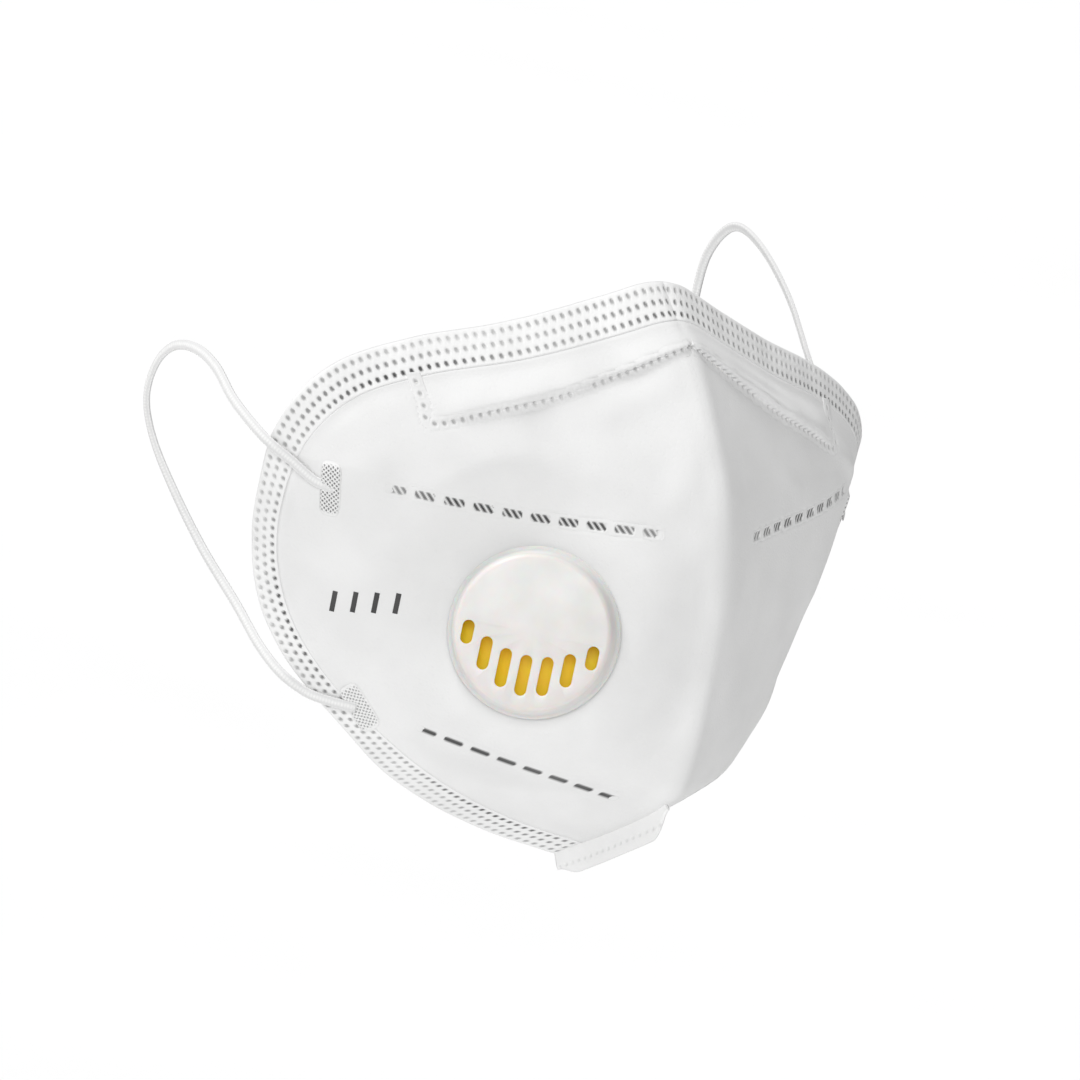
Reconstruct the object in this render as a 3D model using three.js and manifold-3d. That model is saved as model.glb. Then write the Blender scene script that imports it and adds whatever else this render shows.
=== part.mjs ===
// Fold-flat dust mask (filtering half mask) with a round exhalation valve and two ear loops.
// Millimetres. +X is the viewer's right when looking at the front, +Y goes back towards the
// wearer's face and +Z is up. The origin is the middle of the opening that the face closes.
//
// Each half of the mask body is one bent panel. A place on it is given as (across, z): the
// length of cloth from the front ridge, and the height. "Depth" is measured from the outside
// surface inwards, so the four cloth layers are four ranges of depth on the same panel.
import * as THREE from 'three';
import { mergeVertices } from 'three/addons/utils/BufferGeometryUtils.js';
import Module from 'manifold-3d';

const wasm = await Module();
wasm.setup();

// ---------------------------------------------------------------- driving dimensions
const RIDGE_TOP = 64;
const RIDGE_BOTTOM = -64.5;
const LONGEST_ACROSS = 105;

// Side profile of the ridge, as [z, y]: chin slope, upright front, nose slope.
const RIDGE_PROFILE = [
  [-64.5, -29], [-54, -46.5], [-46, -58], [-40, -62.6], [-20, -64],
  [4, -62.4], [22, -58], [34, -51], [46, -42.3], [64, -26],
];
// Angle between a panel and the fore-and-aft direction, as [z, degrees].
const ANGLE_AT_RIDGE = [[-65, 50], [-54, 52], [-45, 54], [-34, 57], [-24, 59], [-4, 61]];
const ANGLE_AT_SIDE = [[-27, 14], [6, 11], [16, 18], [34, 48], [64, 55]];
// The right half stands this much further open than the left, in degrees.
const RIGHT_OPENS = 3.5;
// Length of cloth beside the ridge that stays flat before the panel starts to curl back.
const FLAT_LENGTH = [[-24, 0], [-9, 10], [6, 30], [16, 40]];

// Flat outline of one half, as (across, z): nose edge, cheek, chin edge.
const OUTLINE = [
  [0, 64], [20, 57], [42, 50], [65, 44], [83, 37], [95, 27.5], [102.5, 15], [105.5, 0],
  [103, -13], [95, -25.5], [81, -37], [62, -48], [41, -56], [20, -61.5], [0, -64.5],
];
const NOSE_CORNER = 0.35;
const CHIN_CORNER = 0.66;

// Grid lines of the cloth, as fractions from ridge to cheek and from nose edge to chin edge.
const COLUMNS = [0, 0.08, 0.17, 0.26, 0.35, 0.44, 0.53, 0.62, 0.72, 0.82, 0.91, 1];
const ROWS = [0, 0.09, 0.115, 0.155, 0.18, 0.27, 0.37, 0.47, 0.57, 0.67, 0.78, 0.91, 1];
const LAST_COLUMN = COLUMNS.length - 1;
const LAST_ROW = ROWS.length - 1;

// Depth of the faces of each layer away from the welded edge, and at the edge.
const COVER_DEPTH = [0, 0.5];
const COTTON_DEPTH = [0.95, 1.5];
const FILTER_DEPTH = [1.95, 2.4];
const LINING_DEPTH = [2.85, 3.3];
const LINING_EDGE_DEPTH = [1.05, 1.5];

// Nose clip, in a raised channel of the cover over rows 2 to 3 and columns up to CLIP_COLUMN.
const CLIP_FIRST_ROW = 2;
const CLIP_LAST_ROW = 3;
const CLIP_COLUMN = 6;
const CHANNEL_DEPTH = [-1.6, -1.0];
const CLIP_DEPTH = [-0.5, 0.3];

// Foam strip inside the nose bridge.
const FOAM_FIRST_ROW = 1;
const FOAM_LAST_ROW = 4;
const FOAM_COLUMN = 5;
const FOAM_DEPTH = [3.7, 6.7];

// Exhalation valve on the viewer's left panel: where it sits and which way it faces.
const VALVE_ACROSS = 39.5;
const VALVE_Z = -11.5;
const VALVE_TURN = 46;
const VALVE_LIFT = 10;
const VALVE_FLAT_RADIUS = 27;
const VALVE_BLEND_RADIUS = 40;
const CLOTH_HOLE_RADIUS = 14.7;
const BORE_RADIUS = 11.6;
const LIP_RADIUS = 12.7;
const NECK_RADIUS = 14.4;
const FLANGE_RADIUS = 18.4;
const FLANGE_BACK = 0.5;
const FLANGE_FRONT = 1.35;
const LIP_FRONT = 2.2;
const NECK_BACK = -6.2;
const FLAP_RADIUS = 14.2;
const FLAP_BACK = 2.5;
const FLAP_THICKNESS = 0.5;
const FLAP_TOP_EDGE = 9.5;
const COVER_BACK = 1.65;
const COVER_FRONT = 9.4;
const COVER_FACE_RADIUS = 16.3;
const COVER_WALL = 1.3;
const SLOT_PITCH = 4.5;
const SLOT_WIDTH = 2.6;
const SLOTS_EACH_SIDE = 3;
const ROUND_SIDES = 28;

// Ear loops and the weld pads that hold their ends.
const LOOP_RADIUS = 1.1;
const LOOP_SIDES = 8;
const LOOP_DEPTH = -1.7;
const PAD_DEPTH = [-1.05, -0.5];
const PAD_LENGTH = 12;
const PAD_WIDTH = 4.6;
const UPPER_PAD = [87, 10.6];
const LOWER_PAD = [72, -36];

// Chin seam: the welded fin along the chin slope of the ridge.
const SEAM_WIDTH = 4.4;
const SEAM_THICKNESS = 0.8;
const SEAM_GAP = 0.45;
const SEAM_HEIGHTS = [-64.5, -59, -54, -50, -46.5];

// ---------------------------------------------------------------- materials
function material(color, roughness, metalness = 0) {
  return new THREE.MeshStandardMaterial({ color, roughness, metalness });
}
const CLOTH_WHITE = 0xf4f4f2;
const PLASTIC_WHITE = 0xf1f1ee;
const FLAP_YELLOW = 0xd9b21f;

// ---------------------------------------------------------------- panel surface
// Smooth value at t through [t, value] knots, held level beyond both ends.
function through(knots, t) {
  const last = knots.length - 1;
  if (t <= knots[0][0]) return knots[0][1];
  if (t >= knots[last][0]) return knots[last][1];
  const k = knots.findIndex((knot, i) => i < last && t <= knots[i + 1][0]);
  const slopeAt = (i) => {
    const a = knots[Math.max(i - 1, 0)];
    const b = knots[Math.min(i + 1, last)];
    return (b[1] - a[1]) / (b[0] - a[0]);
  };
  const [t0, v0] = knots[k];
  const [t1, v1] = knots[k + 1];
  const w = t1 - t0;
  const u = (t - t0) / w;
  const start = (1 + 2 * u) * (1 - u) ** 2 * v0 + u * (1 - u) ** 2 * w * slopeAt(k);
  return start + u * u * (3 - 2 * u) * v1 + u * u * (u - 1) * w * slopeAt(k + 1);
}

function smooth(edge0, edge1, value) {
  const u = THREE.MathUtils.clamp((value - edge0) / (edge1 - edge0), 0, 1);
  return u * u * (3 - 2 * u);
}

function panelAngle(side, across, z) {
  const flat = through(FLAT_LENGTH, z);
  const curl = Math.max((across - flat) / (LONGEST_ACROSS - flat), 0);
  const atRidge = through(ANGLE_AT_RIDGE, z);
  const opens = Math.max(side, 0) * RIGHT_OPENS;
  return THREE.MathUtils.degToRad(opens + atRidge - (atRidge - through(ANGLE_AT_SIDE, z)) * curl * curl);
}

// Follows the panel out from the ridge at one height: distance from the middle plane, and y.
function panelPoint(side, across, z) {
  const steps = Math.max(Math.ceil(across), 1);
  const length = across / steps;
  let x = 0;
  let y = through(RIDGE_PROFILE, z);
  for (let i = 0; i < steps; i += 1) {
    const angle = panelAngle(side, (i + 0.5) * length, z);
    x += Math.sin(angle) * length;
    y += Math.cos(angle) * length;
  }
  return new THREE.Vector3(x, y, z);
}

const turn = THREE.MathUtils.degToRad(VALVE_TURN);
const lift = THREE.MathUtils.degToRad(VALVE_LIFT);
const valveOut = new THREE.Vector3(
  -Math.sin(turn) * Math.cos(lift), -Math.cos(turn) * Math.cos(lift), Math.sin(lift),
);
const valveCentre = panelPoint(-1, VALVE_ACROSS, VALVE_Z).multiply(new THREE.Vector3(-1, 1, 1));

// Point of the mask body. side is -1 for the viewer's left half and 1 for the right half.
function bodyPoint(side, across, z, depth) {
  const point = panelPoint(side, across, z);
  const angle = panelAngle(side, across, z);
  if (across === 0) {
    point.y += depth / Math.sin(angle);
    return point;
  }
  point.x *= side;
  const inward = new THREE.Vector3(-side * Math.cos(angle), Math.sin(angle), 0);
  if (side < 0) {
    const offset = point.clone().sub(valveCentre);
    const land = 1 - smooth(VALVE_FLAT_RADIUS, VALVE_BLEND_RADIUS, offset.length());
    point.addScaledVector(valveOut, -offset.dot(valveOut) * land);
    inward.lerp(valveOut.clone().negate(), land).normalize();
  }
  return point.addScaledVector(inward, depth);
}

const outline = new THREE.SplineCurve(OUTLINE.map(([a, z]) => new THREE.Vector2(a, z)));
outline.arcLengthDivisions = 400;

// Place (across, z) at fractions s from ridge to cheek and t from nose edge to chin edge.
function flatPlace(s, t) {
  const nose = outline.getPointAt(s * NOSE_CORNER);
  const cheek = outline.getPointAt(NOSE_CORNER + t * (CHIN_CORNER - NOSE_CORNER));
  const chin = outline.getPointAt(1 - s * (1 - CHIN_CORNER));
  const ridge = new THREE.Vector2(0, RIDGE_TOP + t * (RIDGE_BOTTOM - RIDGE_TOP));
  const noseCorner = outline.getPointAt(NOSE_CORNER);
  const chinCorner = outline.getPointAt(CHIN_CORNER);
  const place = new THREE.Vector2();
  place.addScaledVector(nose, 1 - t).addScaledVector(chin, t);
  place.addScaledVector(ridge, 1 - s).addScaledVector(cheek, s);
  place.addScaledVector(noseCorner, -s * (1 - t)).addScaledVector(chinCorner, -s * t);
  place.y -= (1 - s) * ((1 - t) * RIDGE_TOP + t * RIDGE_BOTTOM);
  return place;
}

// Body point on grid column -LAST_COLUMN..LAST_COLUMN and row 0..LAST_ROW.
function gridPoint(column, row, depth) {
  const place = flatPlace(COLUMNS[Math.abs(column)], ROWS[row]);
  const across = column === 0 ? 0 : place.x;
  return bodyPoint(Math.sign(column), across, place.y, depth);
}

// ---------------------------------------------------------------- solids
function signedVolume(points, faces) {
  let volume = 0;
  for (const [a, b, c] of faces) {
    volume += points[a].dot(new THREE.Vector3().crossVectors(points[b], points[c])) / 6;
  }
  return volume;
}

function solidFrom(points, faces) {
  const outward = signedVolume(points, faces) > 0 ? faces : faces.map(([a, b, c]) => [a, c, b]);
  const geometry = new THREE.BufferGeometry().setFromPoints(points);
  geometry.setIndex(outward.flat());
  return geometry;
}

// Closed sheet between two grids of points of the same shape.
function sheetSolid(columns, rows, pointAt) {
  const points = [];
  const faces = [];
  for (const face of [0, 1]) {
    for (let i = 0; i < rows; i += 1) {
      for (let j = 0; j < columns; j += 1) points.push(pointAt(j, i, face));
    }
  }
  const back = columns * rows;
  const quad = (a, b, c, d) => faces.push([a, b, c], [a, c, d]);
  for (let i = 0; i < rows - 1; i += 1) {
    for (let j = 0; j < columns - 1; j += 1) {
      const a = i * columns + j;
      quad(a, a + 1, a + columns + 1, a + columns);
      quad(back + a, back + a + columns, back + a + columns + 1, back + a + 1);
    }
  }
  const edge = (a, b) => quad(b, a, back + a, back + b);
  for (let j = 0; j < columns - 1; j += 1) {
    edge(j, j + 1);
    edge((rows - 1) * columns + j + 1, (rows - 1) * columns + j);
  }
  for (let i = 0; i < rows - 1; i += 1) {
    edge((i + 1) * columns, i * columns);
    edge((i + 1) * columns - 1, (i + 2) * columns - 1);
  }
  return solidFrom(points, faces);
}

// Cloth layer over columns -lastColumn..lastColumn and the given rows of the grid.
function clothLayer(lastColumn, firstRow, lastRow, depthAt) {
  return sheetSolid(2 * lastColumn + 1, lastRow - firstRow + 1, (j, i, face) => {
    const column = j - lastColumn;
    const row = firstRow + i;
    return gridPoint(column, row, depthAt(column, row, face));
  });
}

function toManifold(geometry) {
  const bare = geometry.clone();
  bare.deleteAttribute('normal');
  bare.deleteAttribute('uv');
  const merged = mergeVertices(bare, 1e-4);
  const vertProperties = new Float32Array(merged.attributes.position.array);
  const triVerts = new Uint32Array(merged.index.array);
  return new wasm.Manifold(new wasm.Mesh({ numProp: 3, vertProperties, triVerts }));
}

function fromManifold(solid) {
  const mesh = solid.getMesh();
  const geometry = new THREE.BufferGeometry();
  geometry.setAttribute('position', new THREE.BufferAttribute(mesh.vertProperties, 3));
  geometry.setIndex(new THREE.BufferAttribute(mesh.triVerts, 1));
  return geometry;
}

function subtract(geometry, ...tools) {
  const solid = tools.reduce((rest, tool) => rest.subtract(toManifold(tool)), toManifold(geometry));
  return fromManifold(solid);
}

function unite(geometry, ...others) {
  const solid = others.reduce((sum, other) => sum.add(toManifold(other)), toManifold(geometry));
  return fromManifold(solid);
}

// ---------------------------------------------------------------- valve frame
// Valve parts are made in the valve's own frame: X right, Y up the face, Z out of the mask.
const valveUp = new THREE.Vector3(0, 0, 1).addScaledVector(valveOut, -valveOut.z).normalize();
const valveRight = new THREE.Vector3().crossVectors(valveUp, valveOut);
const valveFrame = new THREE.Matrix4().makeBasis(valveRight, valveUp, valveOut);
valveFrame.setPosition(valveCentre);

// Ring or cap turned about the valve's axis from a profile of [radius, height], anticlockwise.
function turned(profile) {
  const closed = [...profile];
  if (profile[0][0] > 0) closed.push(profile[0]);
  const points = closed.map(([r, h]) => new THREE.Vector2(r, h));
  return new THREE.LatheGeometry(points, ROUND_SIDES).rotateX(Math.PI / 2);
}

function box(width, height, thickness, x, y, z) {
  return new THREE.BoxGeometry(width, height, thickness).translate(x, y, z);
}

// Hole tool that runs through the cloth along the valve's axis.
function clothHole() {
  const tool = new THREE.CylinderGeometry(CLOTH_HOLE_RADIUS, CLOTH_HOLE_RADIUS, 24, ROUND_SIDES);
  return tool.rotateX(Math.PI / 2).applyMatrix4(valveFrame);
}

// ---------------------------------------------------------------- cloth body
function inChannel(column, row) {
  const rowsMatch = row >= CLIP_FIRST_ROW && row <= CLIP_LAST_ROW;
  return rowsMatch && Math.abs(column) <= CLIP_COLUMN;
}

function outerCover() {
  const depthAt = (column, row, face) => {
    return inChannel(column, row) ? CHANNEL_DEPTH[face] : COVER_DEPTH[face];
  };
  return subtract(clothLayer(LAST_COLUMN, 0, LAST_ROW, depthAt), clothHole());
}

function middleLayer(depths) {
  const depthAt = (column, row, face) => depths[face];
  return subtract(clothLayer(LAST_COLUMN - 1, 1, LAST_ROW - 1, depthAt), clothHole());
}

function innerLining() {
  const depthAt = (column, row, face) => {
    const atEdge = row === 0 || row === LAST_ROW || Math.abs(column) === LAST_COLUMN;
    return atEdge ? LINING_EDGE_DEPTH[face] : LINING_DEPTH[face];
  };
  return subtract(clothLayer(LAST_COLUMN, 0, LAST_ROW, depthAt), clothHole());
}

function noseClip() {
  return clothLayer(CLIP_COLUMN, CLIP_FIRST_ROW, CLIP_LAST_ROW, (c, r, face) => CLIP_DEPTH[face]);
}

function noseFoam() {
  return clothLayer(FOAM_COLUMN, FOAM_FIRST_ROW, FOAM_LAST_ROW, (c, r, face) => FOAM_DEPTH[face]);
}

// Flat fin in the middle plane, standing out of the chin slope of the ridge.
function chinSeam() {
  const inner = [];
  const outer = [];
  for (const z of SEAM_HEIGHTS) {
    const slope = through(RIDGE_PROFILE, z + 0.5) - through(RIDGE_PROFILE, z - 0.5);
    const out = new THREE.Vector2(-1, slope).normalize();
    const ridge = new THREE.Vector2(through(RIDGE_PROFILE, z), z);
    inner.push(ridge.clone().addScaledVector(out, SEAM_GAP));
    outer.push(ridge.clone().addScaledVector(out, SEAM_GAP + SEAM_WIDTH));
  }
  const shape = new THREE.Shape([...inner, ...outer.reverse()]);
  const fin = new THREE.ExtrudeGeometry(shape, { depth: SEAM_THICKNESS, bevelEnabled: false });
  const toMiddlePlane = new THREE.Matrix4().makeBasis(
    new THREE.Vector3(0, 1, 0), new THREE.Vector3(0, 0, 1), new THREE.Vector3(1, 0, 0),
  );
  return fin.translate(0, 0, -SEAM_THICKNESS / 2).applyMatrix4(toMiddlePlane);
}

// ---------------------------------------------------------------- exhalation valve
function valveSeat() {
  const ring = turned([
    [BORE_RADIUS, NECK_BACK], [NECK_RADIUS, NECK_BACK], [NECK_RADIUS, FLANGE_BACK],
    [FLANGE_RADIUS, FLANGE_BACK], [FLANGE_RADIUS, FLANGE_FRONT], [LIP_RADIUS + 0.4, FLANGE_FRONT],
    [LIP_RADIUS, LIP_FRONT], [BORE_RADIUS, LIP_FRONT],
  ]);
  const span = 2 * BORE_RADIUS + 1;
  const uprightRib = box(1.4, span, 1.6, 0, 0, 0);
  const levelRib = box(span, 1.4, 1.6, 0, 0, 0);
  const ledge = box(13, 2.6, 2.4, 0, FLAP_TOP_EDGE + 1.8, 2.4);
  return unite(ring, uprightRib, levelRib, ledge);
}

// Soft disc cut straight along its upper edge, where it is held and bends.
function valveFlap() {
  const start = Math.asin(FLAP_TOP_EDGE / FLAP_RADIUS);
  const shape = new THREE.Shape();
  shape.absarc(0, 0, FLAP_RADIUS, Math.PI - start, 2 * Math.PI + start, false);
  const options = { depth: FLAP_THICKNESS, bevelEnabled: false, curveSegments: ROUND_SIDES };
  return new THREE.ExtrudeGeometry(shape, options).translate(0, 0, FLAP_BACK);
}

// Slots stand side by side, and their middles follow a shallow arc near the lower edge.
function coverSlot(index) {
  const x = index * SLOT_PITCH;
  const middle = -9.3 + 0.036 * x * x;
  const reach = 4.4 - 0.01 * x * x - SLOT_WIDTH / 2;
  const shape = new THREE.Shape();
  shape.absarc(x, middle + reach, SLOT_WIDTH / 2, 0, Math.PI, false);
  shape.absarc(x, middle - reach, SLOT_WIDTH / 2, Math.PI, 2 * Math.PI, false);
  const options = { depth: 6, bevelEnabled: false, curveSegments: 4 };
  return new THREE.ExtrudeGeometry(shape, options).translate(0, 0, COVER_FRONT - 4);
}

function valveCover() {
  const cap = turned([
    [0, COVER_FRONT - COVER_WALL], [COVER_FACE_RADIUS - COVER_WALL, COVER_FRONT - COVER_WALL],
    [FLANGE_RADIUS - COVER_WALL, COVER_BACK], [FLANGE_RADIUS, COVER_BACK],
    [FLANGE_RADIUS - 0.4, COVER_BACK + 1.6], [COVER_FACE_RADIUS + 0.2, COVER_FRONT - 0.7],
    [COVER_FACE_RADIUS - 0.6, COVER_FRONT], [0, COVER_FRONT + 0.2],
  ]);
  const slots = [];
  for (let i = -SLOTS_EACH_SIDE; i <= SLOTS_EACH_SIDE; i += 1) slots.push(coverSlot(i));
  return subtract(cap, ...slots);
}

function valveLockRing() {
  const front = -LINING_DEPTH[1] - 1.05;
  return turned([
    [NECK_RADIUS + 0.3, front], [NECK_RADIUS + 0.3, front - 1.6],
    [FLANGE_RADIUS - 0.4, front - 1.2], [FLANGE_RADIUS - 0.4, front],
  ]);
}

// ---------------------------------------------------------------- ear loops
// Rounded pad pressed on the panel, long along the given direction in the flat panel.
function weldPad(side, [across, z], tiltDegrees) {
  const tilt = THREE.MathUtils.degToRad(tiltDegrees);
  const rim = 12;
  const points = [];
  const faces = [];
  for (const depth of PAD_DEPTH) {
    points.push(bodyPoint(side, across, z, depth));
    for (let k = 0; k < rim; k += 1) {
      const angle = (2 * Math.PI * k) / rim;
      const wide = Math.cos(angle) * PAD_WIDTH / 2;
      const long = Math.sign(Math.sin(angle)) * Math.sqrt(Math.abs(Math.sin(angle))) * PAD_LENGTH / 2;
      const a = across + wide * Math.cos(tilt) + long * Math.sin(tilt);
      const h = z - wide * Math.sin(tilt) + long * Math.cos(tilt);
      points.push(bodyPoint(side, a, h, depth));
    }
  }
  const back = rim + 1;
  for (let k = 0; k < rim; k += 1) {
    const a = 1 + k;
    const b = 1 + ((k + 1) % rim);
    faces.push([0, a, b], [back, back + b, back + a], [a, back + a, b], [b, back + a, back + b]);
  }
  return solidFrom(points, faces);
}

// Each route runs from the upper pad over the cloth to the edge, round the ear, and back over
// the edge to the lower pad. Places on the cloth are [across, z]; free points are [x, y, z].
const LEFT_LOOP = {
  side: -1,
  leave: [[90.5, 11.6], [96, 14.8], [102, 18.2]],
  free: [
    [-82.8, 10, 23.4], [-81.1, 20, 28.4], [-79.8, 29, 30.2], [-79, 37, 28.6], [-78.5, 42, 23.4],
    [-77.5, 44, 15.5], [-75.5, 41.5, 7], [-73, 34.5, -2.5], [-69.5, 25.5, -13],
    [-67, 14.5, -22], [-66.6, 5, -28.6], [-66, -3, -32.6],
  ],
  enter: [[84.6, -35.2], [80.5, -35.9], [76.2, -36]],
};
const RIGHT_LOOP = {
  side: 1,
  leave: [[90.5, 11.6], [96, 14.8], [101.5, 18.6]],
  free: [
    [85.2, 3.5, 28], [82.6, 11, 39.2], [81.4, 20.5, 50.2], [80.6, 31.5, 57.8], [79.6, 40, 59.6],
    [79.2, 46, 52.6], [79.4, 47.4, 42.4], [78.2, 45.4, 29.5], [76.2, 41.5, 15],
    [74.2, 35.5, 2], [72, 27, -10], [70.4, 17.2, -20], [70, 5.6, -27.2], [69.6, -7, -32.6],
  ],
  enter: [[84.6, -35.2], [80.5, -35.9], [76.2, -36]],
};

function loopRoute(loop) {
  const onCloth = ([across, z]) => bodyPoint(loop.side, across, z, LOOP_DEPTH);
  const points = [
    ...loop.leave.map(onCloth),
    ...loop.free.map(([x, y, z]) => new THREE.Vector3(x, y, z)),
    ...loop.enter.map(onCloth),
  ];
  return new THREE.CatmullRomCurve3(points, false, 'centripetal');
}

function earLoop(loop) {
  const section = new THREE.Shape();
  section.absarc(0, 0, LOOP_RADIUS, 0, 2 * Math.PI, false);
  const route = loopRoute(loop);
  const steps = Math.round(route.getLength() / 4.5);
  const options = { steps, bevelEnabled: false, extrudePath: route, curveSegments: LOOP_SIDES / 2 };
  return new THREE.ExtrudeGeometry(section, options);
}

// ---------------------------------------------------------------- assembly
const dustMask = new THREE.Group();

function addPart(parent, name, geometry, look) {
  const mesh = new THREE.Mesh(geometry, look);
  mesh.name = name;
  parent.add(mesh);
}

addPart(dustMask, 'outer_cover', outerCover(), material(CLOTH_WHITE, 0.9));
addPart(dustMask, 'cotton_layer', middleLayer(COTTON_DEPTH), material(0xf7f6f1, 0.95));
addPart(dustMask, 'meltblown_filter', middleLayer(FILTER_DEPTH), material(0xf3f5f7, 0.85));
addPart(dustMask, 'inner_lining', innerLining(), material(CLOTH_WHITE, 0.92));
addPart(dustMask, 'chin_seam', chinSeam(), material(0xeeeeea, 0.7));
addPart(dustMask, 'nose_clip', noseClip(), material(0xc9ccd0, 0.35, 1));
addPart(dustMask, 'nose_foam', noseFoam(), material(0xd8dadb, 0.95));

const valve = new THREE.Group();
valve.applyMatrix4(valveFrame);
dustMask.add(valve);
addPart(valve, 'valve_seat', valveSeat(), material(PLASTIC_WHITE, 0.45));
addPart(valve, 'valve_flap', valveFlap(), material(FLAP_YELLOW, 0.5));
addPart(valve, 'valve_cover', valveCover(), material(PLASTIC_WHITE, 0.35));
addPart(valve, 'valve_lock_ring', valveLockRing(), material(PLASTIC_WHITE, 0.45));

const loopWhite = material(0xf5f5f3, 0.8);
addPart(dustMask, 'ear_loop_left', earLoop(LEFT_LOOP), loopWhite);
addPart(dustMask, 'ear_loop_right', earLoop(RIGHT_LOOP), loopWhite.clone());
for (const [name, side] of [['left', -1], ['right', 1]]) {
  const padLook = material(0xe6e6e4, 0.7);
  addPart(dustMask, `loop_weld_upper_${name}`, weldPad(side, UPPER_PAD, 0), padLook);
  addPart(dustMask, `loop_weld_lower_${name}`, weldPad(side, LOWER_PAD, 45), padLook.clone());
}

export default dustMask;
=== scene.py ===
import math

import bpy
import numpy as np
from mathutils import Matrix, Vector


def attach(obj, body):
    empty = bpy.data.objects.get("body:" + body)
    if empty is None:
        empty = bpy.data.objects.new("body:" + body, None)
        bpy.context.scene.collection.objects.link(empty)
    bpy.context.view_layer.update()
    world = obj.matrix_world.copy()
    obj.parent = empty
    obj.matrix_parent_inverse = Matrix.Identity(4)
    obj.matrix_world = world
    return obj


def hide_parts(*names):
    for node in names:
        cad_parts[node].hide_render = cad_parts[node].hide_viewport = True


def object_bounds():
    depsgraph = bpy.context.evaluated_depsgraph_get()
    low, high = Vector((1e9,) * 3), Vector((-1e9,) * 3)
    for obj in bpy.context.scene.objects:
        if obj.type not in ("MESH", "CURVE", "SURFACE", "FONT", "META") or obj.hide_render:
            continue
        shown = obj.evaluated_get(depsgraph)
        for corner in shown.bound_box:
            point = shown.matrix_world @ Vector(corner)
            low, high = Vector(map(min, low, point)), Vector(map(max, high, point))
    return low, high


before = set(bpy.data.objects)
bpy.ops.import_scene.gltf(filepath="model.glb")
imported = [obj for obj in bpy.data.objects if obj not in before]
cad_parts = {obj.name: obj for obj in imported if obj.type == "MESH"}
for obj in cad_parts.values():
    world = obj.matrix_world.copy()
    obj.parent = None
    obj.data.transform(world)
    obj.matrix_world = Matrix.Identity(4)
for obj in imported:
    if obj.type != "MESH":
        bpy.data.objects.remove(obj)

CAD_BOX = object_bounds()
MM = 0.001

# The shape of the cloth body, in millimetres, as the CAD model has it. A place on a panel is
# (across, z): the length of cloth from the front ridge, and the height. Depth goes inwards.
RIDGE_TOP, RIDGE_BOTTOM = 64.0, -64.5
LONGEST_ACROSS = 105.0
RIDGE_PROFILE = [
    (-64.5, -29), (-54, -46.5), (-46, -58), (-40, -62.6), (-20, -64),
    (4, -62.4), (22, -58), (34, -51), (46, -42.3), (64, -26),
]
ANGLE_AT_RIDGE = [(-65, 50), (-54, 52), (-45, 54), (-34, 57), (-24, 59), (-4, 61)]
ANGLE_AT_SIDE = [(-27, 14), (6, 11), (16, 18), (34, 48), (64, 55)]
FLAT_LENGTH = [(-24, 0), (-9, 10), (6, 30), (16, 40)]
RIGHT_OPENS = 3.5
OUTLINE = [
    (0, 64), (20, 57), (42, 50), (65, 44), (83, 37), (95, 27.5), (102.5, 15), (105.5, 0),
    (103, -13), (95, -25.5), (81, -37), (62, -48), (41, -56), (20, -61.5), (0, -64.5),
]
NOSE_CORNER, CHIN_CORNER = 0.35, 0.66
RIDGE_ROUND, NOSE_ROUND = 3.2, 1.8

VALVE_ACROSS, VALVE_Z = 39.5, -11.5
VALVE_TURN, VALVE_LIFT = math.radians(46), math.radians(10)
VALVE_FLAT_RADIUS, VALVE_BLEND_RADIUS = 20.0, 39.0
CLOTH_HOLE_RADIUS = 14.7

BAND_WIDTH = 7.6
DOT_PITCH = 2.25
DOT_ROWS = (1.3, 3.4, 5.5)
DOT_RADIUS = 0.68
DOT_TONES = (0.6, 0.75, 1.0)


# ------------------------------------------------------------------ panel surface
def through(knots, t):
    """Smooth value at t through (t, value) knots, held level beyond both ends."""
    x, v = np.array(knots, float).T
    at = np.arange(len(x))
    after, before = np.minimum(at + 1, len(x) - 1), np.maximum(at - 1, 0)
    slope = (v[after] - v[before]) / (x[after] - x[before])
    t = np.clip(t, x[0], x[-1])
    i = np.clip(np.searchsorted(x, t) - 1, 0, len(x) - 2)
    w = x[i + 1] - x[i]
    u = (t - x[i]) / w
    start = (1 + 2 * u) * (1 - u) ** 2 * v[i] + u * (1 - u) ** 2 * w * slope[i]
    return start + u * u * (3 - 2 * u) * v[i + 1] + u * u * (u - 1) * w * slope[i + 1]


def smooth(low, high, value):
    u = np.clip((value - low) / (high - low), 0, 1)
    return u * u * (3 - 2 * u)


def panel_angle(side, across, z):
    flat = through(FLAT_LENGTH, z)
    curl = np.maximum((across - flat) / (LONGEST_ACROSS - flat), 0)
    at_ridge = through(ANGLE_AT_RIDGE, z)
    opens = RIGHT_OPENS * np.maximum(side, 0)
    return np.radians(opens + at_ridge - (at_ridge - through(ANGLE_AT_SIDE, z)) * curl * curl)


def panel_xy(side, across, z, steps=60):
    """Distance from the middle plane, and y, of places on a panel."""
    length = across / steps
    x = np.zeros_like(across)
    y = through(RIDGE_PROFILE, z)
    for i in range(steps):
        angle = panel_angle(side, (i + 0.5) * length, z)
        x = x + np.sin(angle) * length
        y = y + np.cos(angle) * length
    return x, y


VALVE_OUT = np.array([
    -math.sin(VALVE_TURN) * math.cos(VALVE_LIFT),
    -math.cos(VALVE_TURN) * math.cos(VALVE_LIFT),
    math.sin(VALVE_LIFT),
])
valve_x, valve_y = panel_xy(-1, np.array([VALVE_ACROSS]), np.array([VALVE_Z]), 160)
VALVE_CENTRE = np.array([-valve_x[0], valve_y[0], VALVE_Z])


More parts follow.
